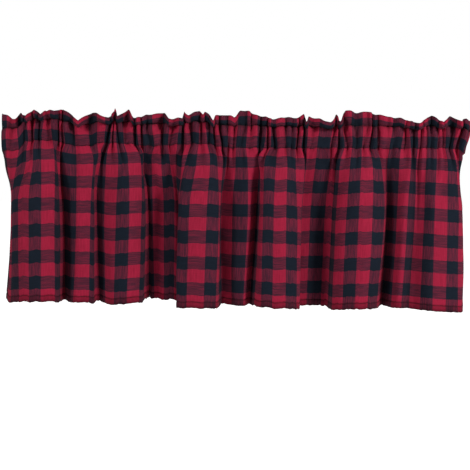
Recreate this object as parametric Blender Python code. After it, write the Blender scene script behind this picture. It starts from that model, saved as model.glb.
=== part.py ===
"""A window valance: one panel of checked cloth gathered on a rod pocket, with a ruffled header.

The origin is the middle of the rod pocket. +X runs along the rod, +Z is up and the valance faces -Y.
Sizes are in millimetres until the meshes are made, which are in metres.
"""

import bpy
import numpy as np

MM = 0.001
SHARP_ANGLE = 50.0

# Sizes of the cloth
FIRST_CHECK = 1.5
LAST_CHECK = 58.5
CLOTH = 1.5
SEW_GAP = 0.3

# Sizes of the heading
POCKET_HEIGHT = 41.0
POCKET_FRONT = 12.5
POCKET_BACK = 11.0
HEADER_CLOTH = 31.0
SEWN_EDGE = 2.0
SEAM_TUCK = 3.4
POCKET_TUCK = 2.0
RUFFLE_LEAN = 19.0
RUFFLE_BACK = 5.0
LEAN_POWER = 1.5
CURL_POWER = 1.4
TUCK_SHIFT = 0.2
SEAM_EASES = 0.6
LOWER_SEAM = -90.0
UPPER_SEAM = 90.0
ROUND_ANGLES = (-52.0, 0.0, 52.0)
HEADER_PARTS = (0.01, 0.5, 1.0)

# Sizes of the skirt
SKIRT_LENGTH = 325.0
SKIRT_TUCK = 4.2
TUCK_SWELL_ENDS = 75.0
TUCK_END = 120.0
TUCK_FADE_POWER = 1.3
LEAST_DROP = 0.8
FORWARD = 5.0
FORWARD_LEVEL = 25.0
LIFT_FADE = 45.0
LEVELS = (0.0, 12.0, 30.0, 56.0, 95.0, 150.0, 225.0, SKIRT_LENGTH)

# The small tucks that the rod draws into the cloth. Their spacing and depth wander along the rod.
CHECKS_PER_TUCK = 1.45
SPACING_WANDERS = ((0.12, 0.9, 0.0), (0.07, 2.3, 1.0))
DEPTH_MIDDLE = 0.78
DEPTH_WANDER = (0.22, 1.7, 0.5)
COLUMNS_PER_TUCK = 4
EDGE_ROOM = 0.15
FINE_POINTS = 2401

# A row for each fold: the check it lies on, counted from the left edge of the cloth, then its place
# across the window in the pocket, under the tucks, half way down and at the hem, how far it stands
# out at the hem, and how far its hem is lifted by the length that the gathers take up. The left part
# of the cloth laps behind the right part at check 25, and the right part behind the left at check 40.
FOLD_COLUMNS = ("check", "pocket", "gathers", "middle", "hem", "out", "lift")
FOLDS = (
    (1.5, -454, -452, -439, -448, -38, 11),
    (2.5, -431, -435, -436, -443, -13, 11),
    (3.5, -407, -409, -425, -425, 8, 13),
    (6.0, -374, -371, -368, -369, 34, 15),
    (7.0, -353, -347, -344, -344, 28, 16),
    (9.0, -326, -334, -331, -327, -15, 16),
    (10.3, -303, -297, -297, -304, 10, 15),
    (11.0, -283, -274, -278, -281, 10, 14),
    (13.0, -254, -266, -273, -266, -32, 13),
    (15.0, -231, -226, -229, -233, 8, 12),
    (16.0, -217, -207, -203, -207, 16, 13),
    (17.0, -197, -184, -181, -186, 8, 14),
    (19.0, -179, -182, -175, -172, -34, 15),
    (20.0, -157, -164, -166, -158, -19, 15),
    (22.0, -132, -129, -118, -115, -19, 14),
    (22.9, -115, -114, -106, -98, -29, 11),
    (23.8, -103, -106, -104, -91, -13, 8),
    (25.0, -88, -96, -103, -105, 14, 7),
    (27.0, -57, -50, -54, -58, 32, 7),
    (28.0, -42, -35, -32, -35, 24, 8),
    (30.0, -17, -19, -28, -24, -21, 13),
    (32.0, 18, 22, 24, 18, 3, 14),
    (33.0, 39, 44, 41, 31, -17, 14),
    (35.0, 66, 55, 53, 52, 24, 11),
    (36.5, 87, 88, 85, 86, 30, 10),
    (38.0, 113, 114, 118, 121, 16, 10),
    (39.0, 126, 135, 134, 135, -5, 9),
    (40.2, 140, 140, 136, 133, -32, 7),
    (42.0, 179, 187, 179, 173, -38, 7),
    (43.3, 200, 194, 191, 190, -13, 8),
    (45.0, 222, 218, 214, 209, 20, 10),
    (46.5, 250, 249, 248, 244, 28, 11),
    (48.0, 271, 281, 287, 278, 6, 12),
    (49.0, 294, 292, 296, 292, -15, 14),
    (50.7, 329, 330, 327, 320, 8, 15),
    (52.0, 348, 347, 348, 343, -9, 13),
    (54.0, 385, 384, 382, 384, 14, 11),
    (56.0, 420, 424, 430, 436, 3, 10),
    (57.0, 431, 431, 443, 451, -17, 9),
    (58.5, 448, 432, 446, 453, -50, 8),
)

# How far down the skirt each place column is read, and how much of the fold's depth has opened there
PLACE_LEVELS = (0.0, 30.0, 128.0, SKIRT_LENGTH)
FOLD_OPENS = (0.0, 0.48, 0.88, 1.0)

# A row for each ruffle: its peak along the rod and the peak's height over the seam, then the dip after it
RUFFLE_COLUMNS = ("peak", "peak_height", "dip", "dip_height")
RUFFLES = (
    (-450, 15, -424, 3),
    (-418, 14, -407, 2),
    (-393, 15, -381, 6),
    (-362, 15, -347, 12),
    (-335, 20, -300, 5),
    (-281, 20, -256, 5),
    (-240, 24, -228, 10),
    (-211, 26, -198, 11),
    (-143, 23, -120, 10),
    (-105, 22, -95, 15),
    (-76, 24, -66, 15),
    (-63, 22, -44, 6),
    (-31, 17, -13, 13),
    (8, 26, 68, 7),
    (91, 13, 109, 11),
    (119, 21, 131, 5),
    (144, 14, 171, 5),
    (184, 19, 196, 8),
    (235, 27, 336, 2),
    (370, 21, 389, 8),
    (403, 22, 418, 9),
    (428, 16, 446, 12),
)


def column(table, columns, name):
    """One named column of a table as an array."""
    return np.array([row[columns.index(name)] for row in table], float)


def smooth(at, knots, values):
    """A curve through the values that never swings past them, with level turning points."""
    knots, values = np.asarray(knots, float), np.asarray(values, float)
    steps, rises = np.diff(knots), np.diff(values)
    slopes = rises / steps
    before, after = slopes[:-1], slopes[1:]
    weight_before, weight_after = 2 * steps[1:] + steps[:-1], steps[1:] + 2 * steps[:-1]
    turning = before * after <= 0
    safe_before, safe_after = np.where(turning, 1.0, before), np.where(turning, 1.0, after)
    inner = (weight_before + weight_after) / (weight_before / safe_before + weight_after / safe_after)
    tangents = np.concatenate(([slopes[0]], np.where(turning, 0.0, inner), [slopes[-1]]))
    place = np.clip(np.searchsorted(knots, at, side="right") - 1, 0, len(steps) - 1)
    part = (at - knots[place]) / steps[place]
    left, right = values[place], values[place + 1]
    pull_left, pull_right = tangents[place] * steps[place], tangents[place + 1] * steps[place]
    squared, cubed = part**2, part**3
    return (
        left * (2 * cubed - 3 * squared + 1)
        + pull_left * (cubed - 2 * squared + part)
        + right * (3 * squared - 2 * cubed)
        + pull_right * (cubed - squared)
    )


def ease(part):
    """Rises from 0 to 1 as part does, level at both ends."""
    part = np.clip(part, 0.0, 1.0)
    return part**2 * (3 - 2 * part)


def tuck_turn(check):
    """How many tucks lie to the left of a check."""
    wander = sum(size * np.sin(rate * check + start) for size, rate, start in SPACING_WANDERS)
    return check / CHECKS_PER_TUCK + wander


def tuck_wave(check):
    """The tucks as a wave from -1 to 1, some deeper than others."""
    size, rate, start = DEPTH_WANDER
    depth = DEPTH_MIDDLE + size * np.sin(rate * check + start)
    return depth * np.sin(2 * np.pi * tuck_turn(check))


def cloth_columns():
    """The checks at which the cloth has a column of points: each tuck's crest, valley and flanks."""
    fine = np.linspace(FIRST_CHECK, LAST_CHECK, FINE_POINTS)
    turns = tuck_turn(fine)
    first, last = np.ceil(turns[0] * COLUMNS_PER_TUCK), np.floor(turns[-1] * COLUMNS_PER_TUCK)
    whole = np.arange(first, last + 1) / COLUMNS_PER_TUCK
    inside = np.interp(whole, turns, fine)
    inside = inside[(inside > FIRST_CHECK + EDGE_ROOM) & (inside < LAST_CHECK - EDGE_ROOM)]
    return np.concatenate(([FIRST_CHECK], inside, [LAST_CHECK]))


def fold_place(check, name):
    """One column of the fold table, read at these checks."""
    return smooth(check, column(FOLDS, FOLD_COLUMNS, "check"), column(FOLDS, FOLD_COLUMNS, name))


def front_normal(across, depth):
    """The direction square to a row of the cloth and level, towards the side that shows."""
    run, dip = np.gradient(across), np.gradient(depth)
    length = np.hypot(run, dip)
    return dip / length, -run / length


def skirt_row(check, level):
    """Places across and depth of the skirt's middle surface along one level below the seam."""
    places = np.array([fold_place(check, name) for name in FOLD_COLUMNS[1:5]])
    across = np.array([smooth(level, PLACE_LEVELS, places[:, i]) for i in range(len(check))])
    depth = -fold_place(check, "out") * smooth(level, PLACE_LEVELS, FOLD_OPENS)
    depth = depth - FORWARD * ease(level / FORWARD_LEVEL)
    side_x, side_y = front_normal(across, depth)
    tuck = tuck_wave(check) * tuck_size(level)
    return across + side_x * tuck, depth + side_y * tuck


def tuck_size(level):
    """Depth of the small tucks, which swell just under the seam and fade down the skirt."""
    swell = SEAM_TUCK + (SKIRT_TUCK - SEAM_TUCK) * np.sin(np.pi * min(level / TUCK_SWELL_ENDS, 1.0))
    return swell * max(0.0, 1.0 - level / TUCK_END) ** TUCK_FADE_POWER


def skirt_middle(check):
    """The skirt's middle surface, as arrays of levels by columns.

    Cloth keeps its length, so a strip that runs back or sideways reaches less far down. Just under
    the seam the fine crumples of the gathers take up some of it too, which lifts the hem.
    """
    rows = [skirt_row(check, level) for level in LEVELS]
    across, depth = np.array([row[0] for row in rows]), np.array([row[1] for row in rows])
    taken = 1 - np.exp(-np.array(LEVELS) / LIFT_FADE)
    strips = np.diff(LEVELS)[:, None] - np.diff(taken)[:, None] * fold_place(check, "lift")
    run = np.hypot(np.diff(across, axis=0), np.diff(depth, axis=0))
    drops = np.sqrt(np.maximum(strips**2 - run**2, (LEAST_DROP * strips) ** 2))
    top = -POCKET_HEIGHT / 2 - SEW_GAP
    height = top - np.vstack([np.zeros(len(check)), np.cumsum(drops, axis=0)])
    return across, depth, height


def header_height(across):
    """Height of the ruffled edge over the upper seam, from the table of ruffles."""
    peaks = column(RUFFLES, RUFFLE_COLUMNS, "peak")
    dips = column(RUFFLES, RUFFLE_COLUMNS, "dip")
    places = np.column_stack([peaks, dips]).ravel()
    heights = np.column_stack(
        [column(RUFFLES, RUFFLE_COLUMNS, "peak_height"), column(RUFFLES, RUFFLE_COLUMNS, "dip_height")]
    ).ravel()
    return smooth(np.clip(across, places[0], places[-1]), places, heights)


def offset(across, depth, distance):
    """A row moved square to itself, towards the front for a positive distance."""
    side_x, side_y = front_normal(across, depth)
    return across + side_x * distance, depth + side_y * distance


def pocket_row(check, angle, side, distance):
    """One row of the pocket's front (side -1) or back (side 1) wall, at an angle round the rod."""
    across = fold_place(check, "pocket")
    turn = np.radians(angle)
    seam = tuck_wave(check) * SEAM_TUCK * (1 - SEAM_EASES * np.cos(turn))
    bulge = POCKET_FRONT if side < 0 else POCKET_BACK
    swell = bulge + POCKET_TUCK * tuck_wave(check + TUCK_SHIFT * side)
    depth = -seam + side * swell * np.cos(turn)
    height = np.full(len(check), POCKET_HEIGHT / 2 * np.sin(turn))
    x, y = offset(across, depth, distance)
    return np.column_stack([x, y, height])


def header_row(check, part, distance):
    """One row of the doubled header, from the upper seam (part 0) to the ruffled edge (part 1)."""
    across = fold_place(check, "pocket")
    rise = header_height(across)
    lean = RUFFLE_BACK - (RUFFLE_LEAN + RUFFLE_BACK) * (1 - rise / HEADER_CLOTH) ** LEAN_POWER
    depth = -tuck_wave(check) * SEAM_TUCK * (1 - part) + lean * part**CURL_POWER
    base = POCKET_HEIGHT / 2 + SEWN_EDGE
    height = base + rise * part
    x, y = offset(across, depth, distance)
    return np.column_stack([x, y, height])


def mesh_object(name, points, faces, material):
    """A closed mesh from points in millimetres, shaded smooth, with its own material."""
    mesh = bpy.data.meshes.new(name)
    mesh.from_pydata([tuple(point) for point in points * MM], [], faces)
    mesh.validate()
    mesh.shade_smooth()
    mesh.set_sharp_from_angle(angle=np.radians(SHARP_ANGLE))
    mesh.materials.append(material)
    piece = bpy.data.objects.new(name, mesh)
    bpy.context.scene.collection.objects.link(piece)
    return piece


def cloth_material(name, colour):
    """Plain woven cotton: rough and not metallic."""
    material = bpy.data.materials.new(name)
    material.use_nodes = True
    surface = material.node_tree.nodes["Principled BSDF"]
    surface.inputs["Base Color"].default_value = (*colour, 1.0)
    surface.inputs["Roughness"].default_value = 0.85
    surface.inputs["Metallic"].default_value = 0.0
    return material


def tube_faces(rows, columns, first):
    """Quads between neighbouring rows of a loop, where the last row joins the first."""
    faces = []
    for row in range(rows):
        below, above = first + row * columns, first + (row + 1) % rows * columns
        for i in range(columns - 1):
            faces.append((below + i, below + i + 1, above + i + 1, above + i))
    return faces


def make_heading():
    """The ruffled header and the rod pocket: an outer skin, and the tunnel's skin inside it."""
    check = cloth_columns()
    down_back = ROUND_ANGLES[::-1]
    outer = [pocket_row(check, angle, -1, CLOTH) for angle in (LOWER_SEAM, *ROUND_ANGLES)]
    outer += [header_row(check, part, CLOTH) for part in HEADER_PARTS]
    outer += [header_row(check, part, -CLOTH) for part in HEADER_PARTS[::-1]]
    outer += [pocket_row(check, angle, 1, -CLOTH) for angle in (*down_back, LOWER_SEAM)]
    low = pocket_row(check, LOWER_SEAM, -1, 0.0) + np.array([0.0, 0.0, SEWN_EDGE])
    high = pocket_row(check, UPPER_SEAM, -1, 0.0)
    front = [pocket_row(check, angle, -1, 0.0) for angle in ROUND_ANGLES]
    back = [pocket_row(check, angle, 1, 0.0) for angle in down_back]
    inner = [low, *front, high, *back]
    columns = len(check)
    points = np.vstack(outer + inner)
    outer_faces = tube_faces(len(outer), columns, 0)
    shift = len(outer) * columns
    inner_faces = [face[::-1] for face in tube_faces(len(inner), columns, shift)]
    faces = outer_faces + inner_faces + end_faces(outer, inner, columns)
    return mesh_object("heading", points, faces, cloth_material("heading_cloth", (0.30, 0.02, 0.05)))


def end_faces(outer, inner, columns):
    """The two raw ends of the heading: the wall round the tunnel, and the header above it.

    A loop of the outer skin has five rows up the pocket's front, then three up and three down the
    header's two sides below its edge, then five down the back. The tunnel's skin has eight rows.
    """
    faces = []
    for end, outwards in ((0, 1), (columns - 1, -1)):
        rim = [row * columns + end for row in range(len(outer))]
        hole = [(len(outer) + row) * columns + end for row in range(len(inner))]
        walls = [[rim[i], rim[i + 1], hole[i + 1], hole[i]] for i in range(4)]
        walls += [[rim[i + 5], rim[i + 6], hole[(i + 1) % 8], hole[i]] for i in range(4, 8)]
        walls += [[rim[i], rim[i + 1], rim[12 - i], rim[13 - i]] for i in (4, 5)]
        walls += [[rim[4], rim[9], hole[4]], [rim[13], rim[0], hole[0]]]
        faces += [wall[::outwards] for wall in walls]
    return faces


def make_skirt():
    """The single layer that hangs in folds: a front and a back skin half a cloth from the middle."""
    check = cloth_columns()
    across, depth, height = skirt_middle(check)
    half = CLOTH / 2
    skins = []
    for distance in (half, -half):
        for level in range(len(LEVELS)):
            x, y = offset(across[level], depth[level], distance)
            skins.append(np.column_stack([x, y, height[level]]))
    levels, columns = len(LEVELS), len(check)
    points = np.vstack(skins[:levels] + skins[levels:][::-1])
    faces = [face[::-1] for face in tube_faces(2 * levels, columns, 0)]
    for end, turn in ((0, 1), (columns - 1, -1)):
        for level in range(levels - 1):
            front, back = level * columns + end, (2 * levels - 1 - level) * columns + end
            loop = [front, front + columns, back - columns, back]
            faces.append(loop[::-1] if turn > 0 else loop)
    return mesh_object("skirt", points, faces, cloth_material("skirt_cloth", (0.34, 0.02, 0.06)))


def main():
    """Clears the scene, then makes the two pieces of the valance."""
    for old in list(bpy.data.objects):
        bpy.data.objects.remove(old, do_unlink=True)
    make_heading()
    make_skirt()


main()
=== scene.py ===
"""A gathered rod-pocket window valance in a red and black buffalo check, dressed around its frame.

The cloth is one panel. Its top is doubled and sewn into a ruffled header and a rod pocket, and the
single layer under the pocket hangs in soft, uneven folds down to a narrow sewn hem. The origin is the
middle of the pocket, +X runs along the rod, +Z is up and the valance faces -Y. Shapes are worked out
in millimetres and put into the meshes in metres.
"""

from __future__ import annotations

import logging
from dataclasses import dataclass
from enum import Enum
from typing import NamedTuple

import bpy
import numpy as np
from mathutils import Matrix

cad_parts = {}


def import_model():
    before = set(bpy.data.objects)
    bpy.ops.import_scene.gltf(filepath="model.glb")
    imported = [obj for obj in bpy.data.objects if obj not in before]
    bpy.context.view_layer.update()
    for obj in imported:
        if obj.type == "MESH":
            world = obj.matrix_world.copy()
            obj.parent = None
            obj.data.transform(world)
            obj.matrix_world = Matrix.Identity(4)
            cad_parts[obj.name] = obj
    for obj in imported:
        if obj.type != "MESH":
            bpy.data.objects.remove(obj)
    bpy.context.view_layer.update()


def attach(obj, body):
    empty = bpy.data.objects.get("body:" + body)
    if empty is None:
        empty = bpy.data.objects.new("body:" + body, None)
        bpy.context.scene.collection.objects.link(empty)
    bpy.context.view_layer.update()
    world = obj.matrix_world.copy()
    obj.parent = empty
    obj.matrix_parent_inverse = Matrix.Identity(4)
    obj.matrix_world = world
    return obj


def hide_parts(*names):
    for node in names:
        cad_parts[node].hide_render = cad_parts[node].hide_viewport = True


MM = 0.001
BODY = "root"
log = logging.getLogger("valance")


class Fold(NamedTuple):
    """One fold: its check counted across the cloth, its place across the window in millimetres in
    the pocket, under the tucks, half way down and at the hem, how far it stands out there, and how
    far its hem is lifted by the length that the gathers take up."""

    check: float
    pocket: float
    gathers: float
    middle: float
    hem: float
    out: float
    lift: float


class Ruffle(NamedTuple):
    """One turning point of the header's ruffled edge: its place along the rod, its height over the
    upper seam, and how wide the red band is that the top fold shows there, in millimetres."""

    place: float
    height: float
    band: float


class Sag(NamedTuple):
    """How far the pocket hangs above or below its straight line at a place, in millimetres."""

    place: float
    rise: float


class Pucker(NamedTuple):
    """One drawn-in crease of the gathers: its place along the rod in millimetres, its strength from 0
    to 1 and how far it reaches down the skirt in millimetres."""

    place: float
    strength: float
    reach: float


class Crease(NamedTuple):
    """One soft crease in the skirt, a ridge where rise is above 0 and a trough where it is below.

    It lies at a check, leans by so many checks on its way down, runs from the top level to the
    bottom level in millimetres under the seam, and is so many checks wide.
    """

    check: float
    lean: float
    top: float
    bottom: float
    width: float
    rise: float


class Side(Enum):
    """The side that a wall of the strip or a row of stitches is on, with its sign towards the room."""

    FRONT = 1.0
    BACK = -1.0


FOLDS = (
    Fold(1.5, -452, -451, -439, -454, -38, 11),
    Fold(2.5, -431, -435, -436, -443, -13, 11),
    Fold(3.5, -407, -409, -425, -425, 8, 13),
    Fold(6.0, -374, -371, -368, -369, 34, 15),
    Fold(7.0, -353, -347, -344, -344, 28, 16),
    Fold(8.8, -331, -339, -336, -334, -16, 16),
    Fold(10.3, -303, -297, -297, -304, 10, 15),
    Fold(11.0, -283, -274, -278, -281, 10, 14),
    Fold(13.0, -254, -266, -271, -265, -20, 13),
    Fold(15.0, -231, -226, -229, -233, 8, 12),
    Fold(16.0, -217, -207, -203, -207, 16, 13),
    Fold(17.0, -197, -184, -181, -186, 2, 14),
    Fold(19.0, -179, -182, -172, -170, -40, 15),
    Fold(20.0, -157, -164, -163, -158, -33, 15),
    Fold(22.0, -132, -129, -120, -119, -33, 14),
    Fold(22.9, -115, -116, -112, -105, -38, 11),
    Fold(23.8, -103, -108, -110, -98, -16, 8),
    Fold(25.0, -88, -98, -109, -112, 12, 7),
    Fold(27.0, -57, -50, -54, -58, 32, 7),
    Fold(28.0, -42, -35, -32, -35, 24, 8),
    Fold(30.0, -17, -19, -28, -24, -21, 13),
    Fold(32.0, 18, 22, 24, 18, 3, 14),
    Fold(33.0, 39, 44, 41, 31, -17, 14),
    Fold(35.0, 66, 55, 53, 52, 24, 11),
    Fold(36.5, 87, 88, 85, 86, 30, 10),
    Fold(38.0, 113, 114, 118, 121, 16, 10),
    Fold(39.0, 124, 129, 128, 129, -5, 9),
    Fold(40.2, 138, 134, 131, 129, -32, 7),
    Fold(42.0, 179, 182, 177, 173, -36, 7),
    Fold(43.1, 196, 191, 190, 187, -27, 7),
    Fold(44.0, 207, 200, 195, 192, 0, 8),
    Fold(45.0, 222, 218, 213, 209, 18, 10),
    Fold(46.5, 250, 249, 248, 244, 28, 11),
    Fold(48.0, 271, 281, 287, 278, 2, 12),
    Fold(49.0, 294, 292, 296, 292, -26, 14),
    Fold(50.7, 329, 330, 327, 320, 8, 15),
    Fold(52.0, 348, 347, 348, 343, -9, 13),
    Fold(54.0, 385, 384, 382, 384, 14, 11),
    Fold(56.0, 415, 422, 430, 436, 3, 7),
    Fold(57.0, 427, 429, 443, 451, -17, 6),
    Fold(58.5, 441, 431, 447, 457, -50, 6),
)

RUFFLES = tuple(
    Ruffle(*row)
    for row in (
        (-452, 29, 17), (-421, 15, 7), (-415, 23, 5), (-404, 2, 6), (-390, 15, 6), (-378, 6, 7),
        (-369, 14, 7), (-345, 14, 7), (-330, 22, 8), (-297, 5, 7), (-277, 20, 6), (-252, 3, 6),
        (-234, 22, 5), (-224, 8, 6), (-208, 23, 6), (-194, 8, 9), (-160, 17, 9), (-142, 19, 8),
        (-132, 7, 6), (-105, 6, 6), (-101, 19, 5), (-91, 12, 6), (-73, 20, 8), (-62, 12, 6),
        (-59, 18, 5), (-41, 5, 7), (-36, 16, 9), (-14, 18, 10), (-9, 16, 12), (4, 27, 12),
        (21, 28, 10), (35, 19, 8), (56, 16, 8), (71, 10, 8), (81, 14, 10), (113, 15, 10),
        (126, 22, 6), (130, 6, 6), (136, 17, 7), (175, 6, 6), (187, 20, 5), (200, 8, 7),
        (206, 15, 11), (213, 29, 15), (235, 25, 15), (248, 27, 14), (266, 22, 11), (337, 7, 9),
        (342, 2, 6), (373, 18, 6), (393, 5, 6), (406, 18, 6), (421, 8, 9), (431, 18, 10),
        (451, 20, 10),
    )
)

SAGS = tuple(
    Sag(*row)
    for row in (
        (-454, -17), (-420, -14), (-404, 3), (-374, 4.5), (-345, 4), (-320, -3), (-291, -5),
        (-254, 2), (-223, 1.5), (-165, -2.5), (-107, 1.5), (-58, 3.5), (-33, -1.5), (-14, -3.5),
        (39, -3), (126, -2), (223, -0.5), (301, 0), (359, 2), (417, 2.5), (440, -6),
        (452, -8),
    )
)

PUCKERS = tuple(
    Pucker(*row)
    for row in (
        (-450, 0.7, 50), (-434, 0.7, 50), (-417, 1.0, 60), (-408, 0.8, 70), (-392, 0.7, 50),
        (-380, 0.7, 50), (-361, 0.5, 40), (-341, 1.0, 60), (-334, 1.0, 130), (-310, 0.9, 80),
        (-281, 0.4, 40), (-248, 1.0, 75), (-238, 0.7, 50), (-226, 0.7, 50), (-213, 0.8, 60),
        (-194, 0.7, 50), (-182, 1.0, 70), (-165, 0.7, 50), (-143, 0.8, 60), (-129, 0.7, 50),
        (-103, 1.0, 150), (-86, 0.7, 50), (-68, 0.8, 60), (-53, 0.7, 50), (-41, 0.7, 50),
        (-27, 1.0, 90), (-15, 0.8, 60), (-6, 0.7, 50), (10, 0.8, 50), (21, 0.7, 50),
        (45, 1.0, 75), (60, 1.0, 110), (74, 0.7, 50), (94, 0.7, 45), (105, 0.7, 50),
        (116, 0.7, 50), (129, 1.0, 120), (147, 0.4, 40), (167, 0.7, 50), (182, 0.9, 60),
        (197, 1.0, 90), (213, 0.4, 40), (232, 0.8, 60), (244, 0.7, 50), (256, 0.7, 50),
        (272, 0.9, 70), (291, 1.0, 100), (301, 0.7, 50), (324, 0.7, 50), (340, 0.8, 60),
        (353, 1.0, 150), (366, 0.7, 50), (374, 0.7, 50), (388, 1.0, 80), (397, 0.7, 50),
        (409, 0.7, 50), (423, 0.9, 90), (440, 0.7, 50),
    )
)

CREASES = (
    Crease(7.4, 0.2, 4.0, 60.0, 0.35, -3.0),
    Crease(12.2, 0.8, 0.0, 110.0, 0.40, 3.5),
    Crease(24.0, 0.6, 0.0, 120.0, 0.35, -4.0),
    Crease(34.4, -0.7, -2.0, 70.0, 0.45, 5.0),
    Crease(42.9, 0.3, 0.0, 160.0, 0.35, -3.5),
    Crease(51.7, 0.2, 0.0, 95.0, 0.40, -4.0),
    Crease(54.4, 0.1, 0.0, 150.0, 0.45, -3.0),
)


def smooth(at: np.ndarray, knots: np.ndarray, values: np.ndarray) -> np.ndarray:
    """Draws a curve through values without swinging past them, level at each turning point.

    A cubic runs between each pair of knots. Its slope at a knot is the weighted harmonic mean of the
    slopes on either side, or 0 where they differ in sign.

    Args:
        at: where to read the curve, any shape.
        knots: rising places of the values.
        values: one value for each knot, or one row of values for each knot.

    Returns:
        The curve at those places, with the row's length as a last axis where values has rows.
    """
    knots, values = np.asarray(knots, float), np.asarray(values, float)
    spread = (slice(None),) + (None,) * (values.ndim - 1)
    steps = np.diff(knots)[spread]
    slopes = np.diff(values, axis=0) / steps
    before, after = slopes[:-1], slopes[1:]
    near, far = 2 * steps[1:] + steps[:-1], steps[1:] + 2 * steps[:-1]
    turning = before * after <= 0
    mean = (near + far) / (near / np.where(turning, 1, before) + far / np.where(turning, 1, after))
    tangents = np.concatenate((slopes[:1], np.where(turning, 0.0, mean), slopes[-1:]))
    at = np.asarray(at, float)
    place = np.clip(np.searchsorted(knots, at, side="right") - 1, 0, len(knots) - 2)
    widen = (...,) + (None,) * (values.ndim - 1)
    width = np.diff(knots)[place][widen]
    part = (at[widen] - knots[place][widen]) / width
    squared, cubed = part**2, part**3
    return (
        values[place] * (2 * cubed - 3 * squared + 1)
        + tangents[place] * width * (cubed - 2 * squared + part)
        + values[place + 1] * (3 * squared - 2 * cubed)
        + tangents[place + 1] * width * (cubed - squared)
    )


def ease(part: np.ndarray) -> np.ndarray:
    """Rises from 0 to 1 as part does, level at both ends: 3 parts squared less 2 parts cubed."""
    part = np.clip(part, 0.0, 1.0)
    return part**2 * (3 - 2 * part)


def level_normals(across: np.ndarray, depth: np.ndarray) -> tuple[np.ndarray, np.ndarray]:
    """Finds the level direction square to each row of cloth, towards the side that shows.

    Args:
        across: places along X, rows by columns.
        depth: places along Y, rows by columns.

    Returns:
        The X and Y parts of the direction: the row's tangent turned a quarter turn clockwise.
    """
    run, dip = np.gradient(across, axis=-1), np.gradient(depth, axis=-1)
    length = np.hypot(run, dip)
    return dip / length, -run / length


@dataclass(frozen=True)
class Cloth:
    """The panel of cloth as the rod gathers it. Lengths are in millimetres and checks are counted."""

    check_size: float = 25.0
    first_check: float = 1.5
    last_check: float = 58.5
    thickness: float = 0.7
    tuck_fullness: float = 1.35
    deepest_tuck: float = 7.0
    crest_power: float = 1.3
    widest_tuck: float = 45.0
    least_slack: float = 0.05
    least_strength: float = 0.45
    fine_columns: int = 4001
    seam_wander: tuple[tuple[float, float, float], ...] = ((0.8, 0.21, 0.0), (0.6, 0.37, 1.0))
    pinch_waves: tuple[tuple[float, float, float], ...] = ((1.1, 13.0, 2.6), (0.7, 23.0, 1.4))
    pinch_drift: float = 1.1

    @property
    def checks(self) -> float:
        """How many checks the panel is wide."""
        return self.last_check - self.first_check

    @property
    def width(self) -> float:
        """The panel's flat width."""
        return self.checks * self.check_size

    def columns(self, count: int) -> np.ndarray:
        """The checks at which a mesh has its columns of points, evenly spaced over the cloth."""
        return np.linspace(self.first_check, self.last_check, count)

    def fold_column(self, check: np.ndarray, name: str) -> np.ndarray:
        """One column of the fold table, read at these checks."""
        return smooth(check, [fold.check for fold in FOLDS], [getattr(fold, name) for fold in FOLDS])

    def pucker_column(self, check: np.ndarray, name: str) -> np.ndarray:
        """One column of the pucker table, read where these checks lie along the rod.

        Args:
            check: the places to read, in checks.
            name: the column's name.

        Returns:
            The column's values there.
        """
        places = [pucker.place for pucker in PUCKERS]
        along = np.clip(self.fold_column(check, "pocket"), places[0], places[-1])
        return smooth(along, places, [getattr(pucker, name) for pucker in PUCKERS])

    def flat_map(self, check: np.ndarray, down: np.ndarray) -> np.ndarray:
        """Each point's place on the flat cloth, with the part of the way down counted from the top."""
        across = (check - self.first_check) / self.checks
        return np.stack(np.broadcast_arrays(across[None, :], 1.0 - down), axis=-1)

    def gathers(self, check: np.ndarray) -> np.ndarray:
        """How far the gathered cloth stands forward of the rod's line, in millimetres.

        The cloth dips at each pucker and is round between them: a cosine with one turn from a pucker
        to the next, its troughs narrowed by a power. It is as deep as takes up the cloth that the
        places along the rod leave over: the spacing over two pi, times the root of the cloth's
        length over its run, squared, less 1.

        Args:
            check: the places, in checks.

        Returns:
            The depth there, above 0 towards the room.
        """
        fine = self.columns(self.fine_columns)
        places = [pucker.place for pucker in PUCKERS]
        along = self.fold_column(fine, "pocket")
        turn = smooth(np.clip(along, places[0], places[-1]), places, np.arange(len(places)))
        spacing = 1 / np.maximum(np.gradient(turn, along), 1 / self.widest_tuck)
        run = np.gradient(along, fine) / self.check_size
        slack = np.sqrt(np.maximum(1 / run**2 - 1, self.least_slack))
        depth = spacing / (2 * np.pi) * self.tuck_fullness * slack
        depth = self.deepest_tuck * np.tanh(depth / self.deepest_tuck)
        strength = self.pucker_column(fine, "strength")
        depth = depth * (self.least_strength + (1 - self.least_strength) * strength)
        crest = 1 - 2 * ((1 + np.cos(2 * np.pi * turn)) / 2) ** self.crest_power
        return np.interp(check, fine, depth * crest)

    def sag(self, check: np.ndarray) -> np.ndarray:
        """How far both seams lie above their straight line: the table's curve and two small sines.

        Args:
            check: the places, in checks.

        Returns:
            The rise in millimetres.
        """
        along = self.fold_column(check, "pocket")
        line = smooth(along, [sag.place for sag in SAGS], [sag.rise for sag in SAGS])
        return line + sum(size * np.sin(turns * along + start) for size, turns, start in self.seam_wander)

    def pinches(self, check: np.ndarray) -> np.ndarray:
        """The fine wrinkles that the stitches draw in, as sines whose spacing drifts, in millimetres."""
        return sum(
            size * np.sin(turns * check + drift * np.sin(self.pinch_drift * check) + turns)
            for size, turns, drift in self.pinch_waves
        )


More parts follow.
